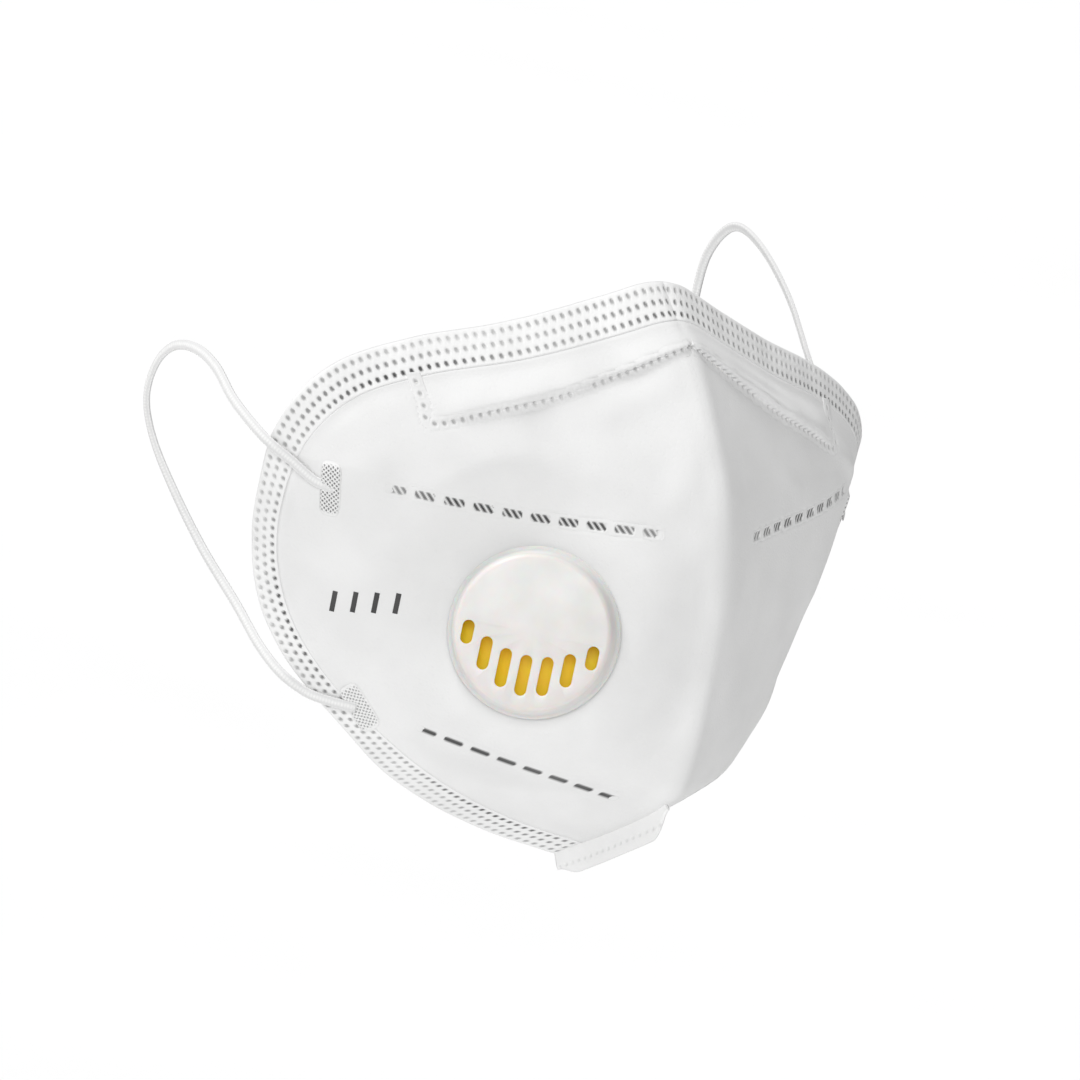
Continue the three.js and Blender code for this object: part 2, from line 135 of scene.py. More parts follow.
def valve_land(points):
    """1 where the cloth lies flat under the valve, falling to 0 beyond it."""
    far = np.linalg.norm(points - VALVE_CENTRE, axis=-1)
    return 1 - smooth(VALVE_FLAT_RADIUS, VALVE_BLEND_RADIUS, far)


def body_points(side, across, z, depth):
    """Points of the mask body. side is -1 on the viewer's left half and 1 on the right."""
    side = np.broadcast_to(np.asarray(side, float), across.shape)
    x, y = panel_xy(side, across, z)
    angle = panel_angle(side, across, z)
    z = z - NOSE_ROUND * smooth(46, 62, z) * np.clip(1 - across / 9, 0, 1) ** 2
    near = np.clip(1 - across / RIDGE_ROUND, 0, 1)
    y = y + 0.5 * RIDGE_ROUND * np.cos(angle) * near ** 2
    facing = angle + (math.pi / 2 - angle) * near
    points = np.stack([side * x, y, z], -1)
    inward = np.stack([-side * np.cos(facing), np.sin(facing), np.zeros_like(x)], -1)
    land = np.where(side < 0, valve_land(points), 0.0)[..., None]
    off = ((points - VALVE_CENTRE) @ VALVE_OUT)[..., None]
    points = points - off * land * VALVE_OUT
    inward = inward * (1 - land) - VALVE_OUT * land
    inward = inward / np.linalg.norm(inward, axis=-1, keepdims=True)
    return points + inward * np.asarray(depth)[..., None]


# ------------------------------------------------------------------ flat outline
def spline(points, per_span=60):
    """Catmull-Rom curve through the points, the ends doubled, as dense points."""
    p = np.array(points, float)
    p = np.concatenate([p[:1], p, p[-1:]])
    u = np.linspace(0, 1, per_span, endpoint=False)[:, None]
    spans = []
    for a, b, c, d in zip(p[:-3], p[1:-2], p[2:-1], p[3:]):
        m0, m1 = (c - a) / 2, (d - b) / 2
        spans.append((2 * u**3 - 3 * u**2 + 1) * b + (u**3 - 2 * u**2 + u) * m0
                     + (3 * u**2 - 2 * u**3) * c + (u**3 - u**2) * m1)
    return np.concatenate(spans + [p[-1:]])


def along(points):
    """Length along a line of points, up to each of them."""
    return np.concatenate([[0], np.cumsum(np.linalg.norm(np.diff(points, axis=0), axis=1))])


def at_length(points, where):
    length = along(points)
    return np.stack([np.interp(where, length, points[:, k]) for k in range(points.shape[1])], -1)


def at_share(points, share):
    return at_length(points, np.asarray(share) * along(points)[-1])


def band_share(where):
    """How wide the edge band is at a length along the edge, as a share of its width at the nose."""
    return 1 - 0.3 * smooth(0.5, 0.72, where / along(EDGE)[-1])


def inset(points, distance):
    """The outline of one half moved inwards, with both ends on the ridge."""
    step = np.gradient(points, axis=0)
    step /= np.linalg.norm(step, axis=1, keepdims=True)
    distance = distance * band_share(along(points))[:, None]
    moved = points + distance * np.stack([step[:, 1], -step[:, 0]], -1)
    inside = moved[moved[:, 0] > 0.15]
    first, last = inside[0].copy(), inside[-1].copy()
    first[0] = last[0] = 0
    first[1] += 0.1
    return np.concatenate([[first], inside, [last]])


EDGE = spline(OUTLINE)
BAND_INNER = inset(EDGE, BAND_WIDTH)
COVER_EDGE = inset(EDGE, BAND_WIDTH - 0.8)


def coons(edge, s, t):
    """Flat places inside an outline, at fractions s from ridge to cheek and t from nose to chin."""
    top, bottom = edge[0], edge[-1]
    nose = at_share(edge, s * NOSE_CORNER)
    cheek = at_share(edge, NOSE_CORNER + t * (CHIN_CORNER - NOSE_CORNER))
    chin = at_share(edge, 1 - s * (1 - CHIN_CORNER))
    corner_a, corner_b = at_share(edge, NOSE_CORNER), at_share(edge, CHIN_CORNER)
    s, t = s[..., None], t[..., None]
    ridge = top + t * (bottom - top)
    place = (1 - t) * nose + t * chin + (1 - s) * ridge + s * cheek
    place -= (1 - s) * ((1 - t) * top + t * bottom) + s * ((1 - t) * corner_a + t * corner_b)
    place[..., 0] = np.where(s[..., 0] == 0, 0, place[..., 0])
    return place


def nearest(line, places):
    """(distance to a flat line, length along it at the nearest point) of each place."""
    flat = places.reshape(-1, 2)
    length = along(line)
    start, step = line[:-1], np.diff(line, axis=0)
    size = (step**2).sum(1)
    best = np.full(len(flat), 1e9)
    where = np.zeros(len(flat))
    for k in range(len(step)):
        u = np.clip(((flat - start[k]) @ step[k]) / size[k], 0, 1)
        gap = np.linalg.norm(flat - start[k] - u[:, None] * step[k], axis=1)
        closer = gap < best
        best[closer] = gap[closer]
        where[closer] = length[k] + u[closer] * math.sqrt(size[k])
    return best.reshape(places.shape[:-1]), where.reshape(places.shape[:-1])


EDGE_COARSE = at_share(EDGE, np.linspace(0, 1, 240))

# ------------------------------------------------------------------ relief of the cloth
POCKET_LOWER = np.array([(0, 51.6), (18, 44), (34, 37.5), (50, 32.5), (64.5, 28)])
POCKET_OUTLINE = [
    (66.5, 36.9), (65.6, 32.4), (64.2, 28.2), (50, 32.5), (34, 37.5), (18, 44), (0.6, 51.4),
]
UPPER_DASHES = [(73, 13.4), (56, 13.0), (40, 12.8), (16.5, 13.4)]
UPPER_DASHES_RIGHT = [(73, 18.6), (56, 17.0), (40, 15.6), (16.5, 14.0)]
LOWER_DASHES = [(56.5, -37.8), (35, -41.4), (13.2, -44.9)]
DASH_PITCH, DASH_HALF_LENGTH, DASH_ROUND = 6.28, 2.2, 0.4
LINE_HALF_WIDTH = 1.7
# Each pressed line: its route, and the length of plain strip beyond both ends.
LINES = {
    "upper": (spline(UPPER_DASHES, 12), 3.2),
    "upper_right": (spline(UPPER_DASHES_RIGHT, 12), 3.2),
    "lower": (spline(LOWER_DASHES, 12), 3.2),
    "pocket": (spline(POCKET_OUTLINE, 12), 0.6),
}
NOSE_EDGE = EDGE[: int(len(EDGE) * 0.36)]


def pocket_puff(across, z):
    top = np.interp(across, NOSE_EDGE[:, 0], NOSE_EDGE[:, 1]) - BAND_WIDTH - 0.8
    low = np.interp(across, POCKET_LOWER[:, 0], POCKET_LOWER[:, 1])
    v = np.clip((top - z) / np.maximum(top - low, 1), 0, 1)
    full = (1 - (2 * v - 1) ** 4) * (1 - smooth(56, 66, across))
    ripple = 1.75 + 0.35 * np.sin(across / 4.3 + z / 9) + 0.12 * np.sin(across / 2.1 + 1)
    return full * ripple


def ridge_of(across, z, start, end, height, width):
    """A soft crease from start to end, highest in the middle."""
    start, end = np.array(start, float), np.array(end, float)
    step = end - start
    length = np.linalg.norm(step)
    dx, dz = across - start[0], z - start[1]
    u = (dx * step[0] + dz * step[1]) / length**2
    gap = (dx * step[1] - dz * step[0]) / length
    fade = np.clip(1 - (2 * u - 1) ** 2, 0, 1)
    return height * fade * np.exp(-((gap / width) ** 2))


# Each crease, by half: start, end, height and width, with places as (across, z).
CREASES = {
    -1: [
        ((3, 46), (30, 33), 0.5, 2.6), ((2, 36), (16, 14), 0.45, 3.4), ((6, -42), (26, -30), 0.5, 4.0),
        ((60, -30), (86, -26), 0.5, 4.0), ((70, 22), (92, 8), 0.6, 4.5), ((30, -50), (60, -46), -0.5, 3.0),
    ],
    1: [
        ((6, 53), (48, 38.5), 1.4, 1.4), ((8, 50.3), (44, 37.4), -1.0, 0.9),
        ((13, 47.8), (38, 38.2), 0.9, 1.2),
        ((60, 31), (90, 18), 0.9, 2.4), ((12, 40), (44, 20), 0.7, 3.5), ((5, -38), (30, -28), 0.5, 4.5),
        ((50, -32), (78, -26), 0.5, 4.0),
    ],
}


def relief(side, across, z):
    """How far the cloth stands out of the plain panel, in millimetres."""
    out = np.zeros_like(across)
    for half in (-1, 1):
        soft = 0.24 * np.sin(across / 11 + z / 17 + 1.3 * half) + 0.2 * np.sin(z / 9.5 - across / 21 + 0.4)
        soft = soft + 0.07 * np.sin(across / 4.7 + z / 6.3 + half)
        for start, end, height, width in CREASES[half]:
            soft = soft + ridge_of(across, z, start, end, height, width)
        out = np.where(side * half > 0, soft, out)
    out = np.where(side == 0, 0.1, out) * smooth(0, 7, across)
    x, y = panel_xy(-1, across, z, 24)
    land = np.where(side < 0, valve_land(np.stack([-x, y, z], -1)), 0)
    return (out + pocket_puff(across, z)) * (1 - land)


def edge_fade(gap):
    """0 at the inner line of the edge band, 1 well inside it."""
    return smooth(0.0, 5.0, gap)


# ------------------------------------------------------------------ mesh helpers
def new_object(name, points, faces, material, values=None):
    """A mesh object from millimetre points. values holds one float per point, by name."""
    points = np.asarray(points, float).reshape(-1, 3)
    faces = np.asarray(faces)
    a, b, c = points[faces[:, 0]], points[faces[:, 1]], points[faces[:, 2]]
    d = points[faces[:, -1]]
    volume = np.einsum("ij,ij->", a, np.cross(b, c)) + np.einsum("ij,ij->", a, np.cross(c, d))
    if volume < 0:
        faces = faces[:, ::-1]
    mesh = bpy.data.meshes.new(name)
    mesh.vertices.add(len(points))
    mesh.vertices.foreach_set("co", (points * MM).ravel())
    corners = faces.shape[1]
    mesh.loops.add(faces.size)
    mesh.loops.foreach_set("vertex_index", faces.ravel())
    mesh.polygons.add(len(faces))
    mesh.polygons.foreach_set("loop_start", np.arange(0, faces.size, corners))
    mesh.update(calc_edges=True)
    mesh.validate()
    mesh.polygons.foreach_set("use_smooth", np.ones(len(mesh.polygons), bool))
    for key, value in (values or {}).items():
        layer = mesh.attributes.new(key, "FLOAT", "POINT")
        layer.data.foreach_set("value", np.asarray(value, float).ravel())
    piece = bpy.data.objects.new(name, mesh)
    bpy.context.scene.collection.objects.link(piece)
    mesh.materials.append(material)
    return piece


def grid_quads(rows, columns):
    index = np.arange(rows * columns).reshape(rows, columns)
    corners = [index[:-1, :-1], index[:-1, 1:], index[1:, 1:], index[1:, :-1]]
    return np.stack(corners, -1).reshape(-1, 4)


def closed_sheet(name, outer, inner, material, values=None, keep=None):
    """A thin closed body between two grids of points; keep marks the cells that stay."""
    rows, columns = outer.shape[:2]
    count = rows * columns
    quads = grid_quads(rows, columns)
    if keep is not None:
        quads = quads[keep.ravel()]
    sides = np.concatenate([quads[:, [i, (i + 1) % 4]] for i in range(4)])
    forward, backward = sides[:, 0] * count + sides[:, 1], sides[:, 1] * count + sides[:, 0]
    border = sides[~np.isin(forward, backward)]
    walls = np.stack([border[:, 1], border[:, 0], border[:, 0] + count, border[:, 1] + count], -1)
    faces = np.concatenate([quads, quads[:, ::-1] + count, walls])
    points = np.concatenate([outer.reshape(-1, 3), inner.reshape(-1, 3)])
    used = np.zeros(len(points), bool)
    used[faces.ravel()] = True
    renumber = np.cumsum(used) - 1
    values = {k: np.concatenate([np.ravel(v), np.ravel(v)])[used] for k, v in (values or {}).items()}
    return new_object(name, points[used], renumber[faces], material, values)


def lathe(name, profile, material, segments=112):
    """A closed ring or cap in the valve's frame from a closed (radius, height) profile."""
    angle = np.linspace(0, 2 * math.pi, segments, endpoint=False)
    points, faces = [], []
    rings = []
    for r, h in profile:
        if r == 0:
            rings.append([len(points)])
            points.append((0, 0, h))
        else:
            rings.append(list(range(len(points), len(points) + segments)))
            points += [(r * math.cos(a), r * math.sin(a), h) for a in angle]
    pairs = list(zip(rings, rings[1:]))
    if profile[0][0] > 0:
        pairs.append((rings[-1], rings[0]))
    for low, high in pairs:
        for k in range(segments):
            n = (k + 1) % segments
            if len(low) == 1 and len(high) > 1:
                faces.append((low[0], high[k], high[n]))
            elif len(high) == 1 and len(low) > 1:
                faces.append((low[n], low[k], high[0]))
            elif len(low) > 1:
                faces.append((low[n], low[k], high[k], high[n]))
    mesh = bpy.data.meshes.new(name)
    mesh.from_pydata(points, [], faces)
    mesh.materials.append(material)
    piece = bpy.data.objects.new(name, mesh)
    bpy.context.scene.collection.objects.link(piece)
    return piece


def prism(outline, low, high):
    """A temporary closed prism in the valve's frame, for cutting and joining."""
    count = len(outline)
    points = [(x, y, low) for x, y in outline] + [(x, y, high) for x, y in outline]
    faces = [tuple(range(count))[::-1], tuple(range(count, 2 * count))]
    faces += [(k, (k + 1) % count, (k + 1) % count + count, k + count) for k in range(count)]
    mesh = bpy.data.meshes.new("tool")
    mesh.from_pydata(points, [], faces)
    tool = bpy.data.objects.new("tool", mesh)
    bpy.context.scene.collection.objects.link(tool)
    return tool


def apply_modifiers(piece):
    view = bpy.context.evaluated_depsgraph_get()
    view.update()
    result = bpy.data.meshes.new_from_object(piece.evaluated_get(view))
    piece.modifiers.clear()
    piece.data = result


def combine(piece, tools, operation):
    for tool in tools:
        change = piece.modifiers.new("combine", "BOOLEAN")
        change.operation = operation
        change.solver = "EXACT"
        change.object = tool
    apply_modifiers(piece)
    for tool in tools:
        bpy.data.objects.remove(tool)


def soften(piece, width, segments=3, angle=35):
    """Rounds the sharp edges and shades the rest smooth."""
    bevel = piece.modifiers.new("round", "BEVEL")
    bevel.width = width
    bevel.segments = segments
    bevel.limit_method = "ANGLE"
    bevel.angle_limit = math.radians(angle)
    bevel.use_clamp_overlap = True
    bevel.harden_normals = False
    apply_modifiers(piece)
    piece.data.shade_smooth()
    piece.data.set_sharp_from_angle(angle=math.radians(40))


VALVE_UP = np.array([0, 0, 1.0]) - VALVE_OUT * VALVE_OUT[2]
VALVE_UP /= np.linalg.norm(VALVE_UP)
VALVE_RIGHT = np.cross(VALVE_UP, VALVE_OUT)


def into_place(piece):
    """Moves a piece made in the valve's frame, in millimetres, to its place on the mask."""
    axes = Matrix((VALVE_RIGHT, VALVE_UP, VALVE_OUT)).transposed().to_4x4()
    move = Matrix.Translation(Vector(VALVE_CENTRE) * MM) @ axes @ Matrix.Scale(MM, 4)
    piece.data.transform(move)
    piece.data.update()
    return piece


# ------------------------------------------------------------------ materials
class Nodes:
    """Short ways to add shader nodes to a material."""

    def __init__(self, name):
        self.material = bpy.data.materials.new(name)
        self.material.use_nodes = True
        self.tree = self.material.node_tree
        self.shader = next(n for n in self.tree.nodes if n.type == "BSDF_PRINCIPLED")
        self.place = self.add("ShaderNodeTexCoord").outputs["Object"]

    def add(self, kind, **settings):
        node = self.tree.nodes.new(kind)
        for key, value in settings.items():
            setattr(node, key, value)
        return node

    def link(self, a, b):
        self.tree.links.new(a, b)

    def noise(self, scale, detail=3.0, stretch=None):
        node = self.add("ShaderNodeTexNoise")
        node.inputs["Scale"].default_value = scale
        node.inputs["Detail"].default_value = detail
        place = self.place
        if stretch:
            mapping = self.add("ShaderNodeMapping")
            mapping.inputs["Scale"].default_value = stretch
            self.link(place, mapping.inputs["Vector"])
            place = mapping.outputs["Vector"]
        self.link(place, node.inputs["Vector"])
        return node.outputs["Fac"]

    def cells(self, scale):
        node = self.add("ShaderNodeTexVoronoi", feature="F1")
        node.inputs["Scale"].default_value = scale
        self.link(self.place, node.inputs["Vector"])
        return node.outputs["Distance"]

    def value(self, name):
        return self.add("ShaderNodeAttribute", attribute_name=name).outputs["Fac"]

    def spread(self, source, low, high, out_low=0.0, out_high=1.0):
        node = self.add("ShaderNodeMapRange")
        names = "From Min", "From Max", "To Min", "To Max"
        for key, number in zip(names, (low, high, out_low, out_high)):
            node.inputs[key].default_value = number
        self.link(source, node.inputs["Value"])
        return node.outputs["Result"]

    def maths(self, operation, a, b):
        node = self.add("ShaderNodeMath", operation=operation)
        for socket, item in zip(node.inputs, (a, b)):
            if isinstance(item, (int, float)):
                socket.default_value = item
            else:
                self.link(item, socket)
        return node.outputs["Value"]

    def mix(self, share, a, b):
        node = self.add("ShaderNodeMix", data_type="RGBA")
        self.link(share, node.inputs["Factor"])
        for socket, item in zip((node.inputs[6], node.inputs[7]), (a, b)):
            if isinstance(item, tuple):
                socket.default_value = (*item, 1)
            else:
                self.link(item, socket)
        return node.outputs[2]

    def bump(self, height, distance, strength=1.0, before=None):
        node = self.add("ShaderNodeBump")
        node.inputs["Distance"].default_value = distance
        node.inputs["Strength"].default_value = strength
        self.link(height, node.inputs["Height"])
        if before is not None:
            self.link(before, node.inputs["Normal"])
        return node.outputs["Normal"]

    def finish(self, color, roughness, normal, **sockets):
        self.link(color, self.shader.inputs["Base Color"])
        self.link(roughness, self.shader.inputs["Roughness"])
        self.link(normal, self.shader.inputs["Normal"])
        for key, value in sockets.items():
            self.shader.inputs[key.replace("_", " ")].default_value = value
        return self.material


def cloth_material(name, light, dark, pressed=None, sheen=0.2, bond=0.35):
    """Spunbond cloth: fine fibres, small bonded points, slow mottling, darker where pressed."""
    n = Nodes(name)
    slow = n.spread(n.noise(60, 2), 0.35, 0.65)
    fibre = n.noise(2600, 4, (1.0, 0.35, 1.0))
    color = n.mix(slow, light, dark)
    color = n.mix(n.spread(fibre, 0.62, 0.8, 0, 0.35), color, tuple(c * 0.93 for c in dark))
    rough = n.spread(fibre, 0.3, 0.7, 0.82, 0.96)
    if pressed:
        mark = n.value("pressed")
        color = n.mix(mark, color, pressed)
        rough = n.maths("SUBTRACT", rough, n.maths("MULTIPLY", mark, 0.35))
    points = n.spread(n.cells(1050), 0.12, 0.42)
    normal = n.bump(points, 0.00006, bond)
    normal = n.bump(fibre, 0.00005, 0.5, normal)
    return n.finish(color, rough, normal,
                    Sheen_Weight=sheen, Sheen_Roughness=0.6, Specular_IOR_Level=0.25)


def plastic_material(name, light, dark, rough=(0.36, 0.5), glow=0.6):
    """Moulded plastic: faint grain, small cloudiness, nearly even colour."""
    n = Nodes(name)
    cloud = n.spread(n.noise(140, 3), 0.35, 0.65)
    grain = n.noise(5200, 2)
    color = n.mix(cloud, light, dark)
    return n.finish(color, n.spread(cloud, 0, 1, *rough), n.bump(grain, 0.00002, 0.35),
                    Specular_IOR_Level=0.35, Subsurface_Weight=glow, Subsurface_Scale=0.003)


def glowing_rubber_material(name, light, dark):
    n = Nodes(name)
    cloud = n.spread(n.noise(220, 3), 0.3, 0.7)
    color = n.mix(cloud, light, dark)
    grain = n.noise(3800, 2)
    # The orange emission below is a painted glow: it brightens the leaf, which sits in shade behind the
    # cap's slots.
    return n.finish(color, n.spread(grain, 0.3, 0.7, 0.38, 0.52), n.bump(grain, 0.00003, 0.4),
                    Subsurface_Weight=0.5, Subsurface_Scale=0.002,
                    Emission_Color=(0.95, 0.55, 0.01, 1), Emission_Strength=0.14)


def elastic_material(name):
    """Knitted elastic: ribs along the cord and short stitches across it."""
    n = Nodes(name)
    rib = n.spread(n.maths("SINE", n.maths("MULTIPLY", n.value("around"), 34.0), 0), -1, 1)
    stitch = n.spread(n.maths("SINE", n.maths("MULTIPLY", n.value("along"), 9.0), 0), -1, 1)
    weave = n.maths("MULTIPLY", rib, n.maths("ADD", n.maths("MULTIPLY", stitch, 0.5), 0.5))
    fuzz = n.noise(2400, 3)
    color = n.mix(weave, (0.62, 0.62, 0.62), (0.76, 0.76, 0.755))
    color = n.mix(n.spread(fuzz, 0.55, 0.8, 0, 0.3), color, (0.66, 0.66, 0.66))
    normal = n.bump(fuzz, 0.00005, 0.5, n.bump(weave, 0.00012, 0.8))
    return n.finish(color, n.spread(fuzz, 0.3, 0.7, 0.75, 0.92), normal, Sheen_Weight=0.25)


def foam_material(name):
    n = Nodes(name)
    pores = n.spread(n.cells(1600), 0.05, 0.5)
    # The pits of the pores are painted darker: painted shade in the pores.
    color = n.mix(pores, (0.5, 0.51, 0.52), (0.78, 0.79, 0.8))
    return n.finish(color, n.spread(pores, 0, 1, 0.95, 0.85), n.bump(pores, 0.0003, 0.8))


def metal_material(name):
    n = Nodes(name)
    brush = n.noise(900, 3, (0.08, 1.0, 1.0))
    color = n.mix(n.spread(brush, 0.3, 0.7), (0.62, 0.63, 0.65), (0.78, 0.79, 0.8))
    rough = n.spread(brush, 0.3, 0.7, 0.25, 0.42)
    return n.finish(color, rough, n.bump(brush, 0.00003, 0.4), Metallic=1.0)


# Cloth colours: light and dark mottling, and the colour of the pressed marks.
COVER_CLOTH = cloth_material(
    "cover_cloth", (0.73, 0.73, 0.728), (0.69, 0.69, 0.688), (0.045, 0.045, 0.045))
BAND_CLOTH = cloth_material(
    "edge_band_cloth", (0.78, 0.78, 0.778), (0.74, 0.74, 0.738), (0.06, 0.06, 0.06), 0.1)
LINING_CLOTH = cloth_material("lining_cloth", (0.76, 0.765, 0.77), (0.72, 0.725, 0.73), None, 0.3)
COTTON = cloth_material("cotton_felt", (0.85, 0.84, 0.8), (0.78, 0.77, 0.73), None, 0.5, 0.1)
FILTER = cloth_material("filter_cloth", (0.84, 0.85, 0.87), (0.8, 0.81, 0.83), None, 0.05, 0.15)
WELDED = cloth_material(
    "welded_cloth", (0.76, 0.76, 0.757), (0.72, 0.72, 0.717), (0.1, 0.1, 0.1), 0.05)
SHELL = plastic_material("valve_plastic", (0.66, 0.655, 0.64), (0.63, 0.625, 0.61))
SEAT = plastic_material(
    "valve_seat_plastic", (0.85, 0.85, 0.84), (0.82, 0.82, 0.81), (0.4, 0.55))
YELLOW = glowing_rubber_material("yellow_rubber_painted_glow", (0.95, 0.66, 0.01), (0.9, 0.58, 0.01))
ELASTIC = elastic_material("knitted_elastic")
FOAM = foam_material("foam")
METAL = metal_material("clip_metal")
INK = cloth_material("printed_cloth", (0.09, 0.09, 0.09), (0.06, 0.06, 0.06), None, 0.0, 0.3)

# ------------------------------------------------------------------ camera, floor and light
# The view looks at the front from the viewer's left and a little above.
VIEW_RIGHT = Vector((0.737, -0.646, 0.199))
VIEW_UP = Vector((-0.031, 0.262, 0.965))
VIEW_WIDTH = 0.2298
CAMERA_DISTANCE = 2.5
SENSOR_WIDTH = 36
LOOK_AT = Vector((-0.0294, -0.0346, 0.0066))
FLOOR_SIZE, FLOOR_DROP = 60, 0.25
SKY_STRENGTH = 0.3
# Each sun lamp: name, direction that it shines from, strength, width in degrees.
SUNS = [
    ("key", (-0.68, -0.64, 0.36), 1.6, 30),
    ("overhead", (-0.35, 0.32, 0.88), 2.2, 24),
]


def make_camera():
    right = VIEW_RIGHT.normalized()
    back = right.cross(VIEW_UP).normalized()
    up = back.cross(right)
    data = bpy.data.cameras.new("camera")
    data.sensor_width = SENSOR_WIDTH
    data.lens = SENSOR_WIDTH * CAMERA_DISTANCE / VIEW_WIDTH
    data.clip_start, data.clip_end = 0.1, 60
    camera = bpy.data.objects.new("camera", data)
    bpy.context.scene.collection.objects.link(camera)
    turn = Matrix((right, up, back)).transposed().to_4x4()
    camera.matrix_world = Matrix.Translation(LOOK_AT + back * CAMERA_DISTANCE) @ turn
    bpy.context.scene.camera = camera


def make_floor():
    n = Nodes("floor")
    color = n.mix(n.spread(n.noise(3, 2), 0.3, 0.7), (0.93, 0.93, 0.93), (0.95, 0.95, 0.95))
    rough = n.spread(n.noise(8, 2), 0.3, 0.7, 0.85, 0.95)
    material = n.finish(color, rough, n.bump(n.noise(40, 2), 0.0001, 0.1))
    bpy.ops.mesh.primitive_plane_add(size=FLOOR_SIZE, location=(0, 0, CAD_BOX[0][2] - FLOOR_DROP))
    floor = bpy.context.object
    floor.name = "floor"
    floor.data.materials.append(material)


def make_light():
    world = bpy.data.worlds.new("studio")
    bpy.context.scene.world = world
    world.use_nodes = True
    sky = world.node_tree.nodes["Background"]
    sky.inputs["Color"].default_value = (1, 1, 1, 1)
    sky.inputs["Strength"].default_value = SKY_STRENGTH
    for name, direction, strength, width in SUNS:
        data = bpy.data.lights.new(name, "SUN")
        data.energy = strength
        data.angle = math.radians(width)
        lamp = bpy.data.objects.new(name, data)
        lamp.rotation_mode = "QUATERNION"
        lamp.rotation_quaternion = Vector(direction).to_track_quat("Z", "Y")
        bpy.context.scene.collection.objects.link(lamp)
    bpy.context.scene.view_settings.view_transform = "Standard"


make_camera()
make_floor()
make_light()

# ------------------------------------------------------------------ ear loops
UPPER_PAD, LOWER_PAD = (87.0, 10.6), (72.0, -36.0)
PAD_LENGTH, PAD_WIDTH = 12.0, 4.6
LOOP_WIDTH, LOOP_THICK, LOOP_CORNERS = 2.2, 1.0, 16
LOOP_STEP = 0.45
# Depth of a loop's middle where it lies on the cloth.
ON_CLOTH = -0.85
# Routes: places on the cloth as (across, z), and free points in space as (x, y, z).
LEFT_LOOP = {
    "side": -1,
    "leave": [(86.0, 10.9), (90.5, 11.6), (96, 14.8), (102, 18.2)],
    "free": [
        (-82.8, 10, 23.4), (-81.1, 20, 28.4), (-79.8, 29, 30.2), (-79, 37, 28.6), (-78.5, 42, 23.4),
        (-77.5, 44, 15.5), (-75.5, 41.5, 7), (-73, 34.5, -2.5), (-69.5, 25.5, -13),
        (-67, 14.5, -22), (-66.6, 5, -28.6), (-66, -3, -32.6),
    ],
    "enter": [(84.6, -35.2), (80.5, -35.9), (76.2, -36), (72.6, -36)],
}
RIGHT_LOOP = {
    "side": 1,
    "leave": [(86.0, 10.9), (90.5, 11.6), (96, 14.8), (101.5, 18.6)],
    "free": [
        (85.2, 3.5, 28), (82.6, 11, 39.2), (81.6, 20.5, 51.2), (80.6, 31.5, 60), (79.6, 40, 62.2),
        (79.2, 46, 54.6), (79.4, 47.4, 42.4), (78.2, 45.4, 29.5), (76.2, 41.5, 15),
        (74.2, 35.5, 2), (72, 27, -10), (70.4, 17.2, -20), (70, 5.6, -27.2), (69.6, -7, -32.6),
    ],
    "enter": [(84.6, -35.2), (80.5, -35.9), (76.2, -36), (72.6, -36)],
}


def on_cloth(side, places, depth):
    a, z = np.array(places, float).T
    return body_points(side, a, z, np.full(len(a), float(depth)))


def outward(side, places):
    """Directions straight out of the cloth."""
    away = on_cloth(side, places, ON_CLOTH) - on_cloth(side, places, ON_CLOTH + 1)
    return away / np.linalg.norm(away, axis=1, keepdims=True)


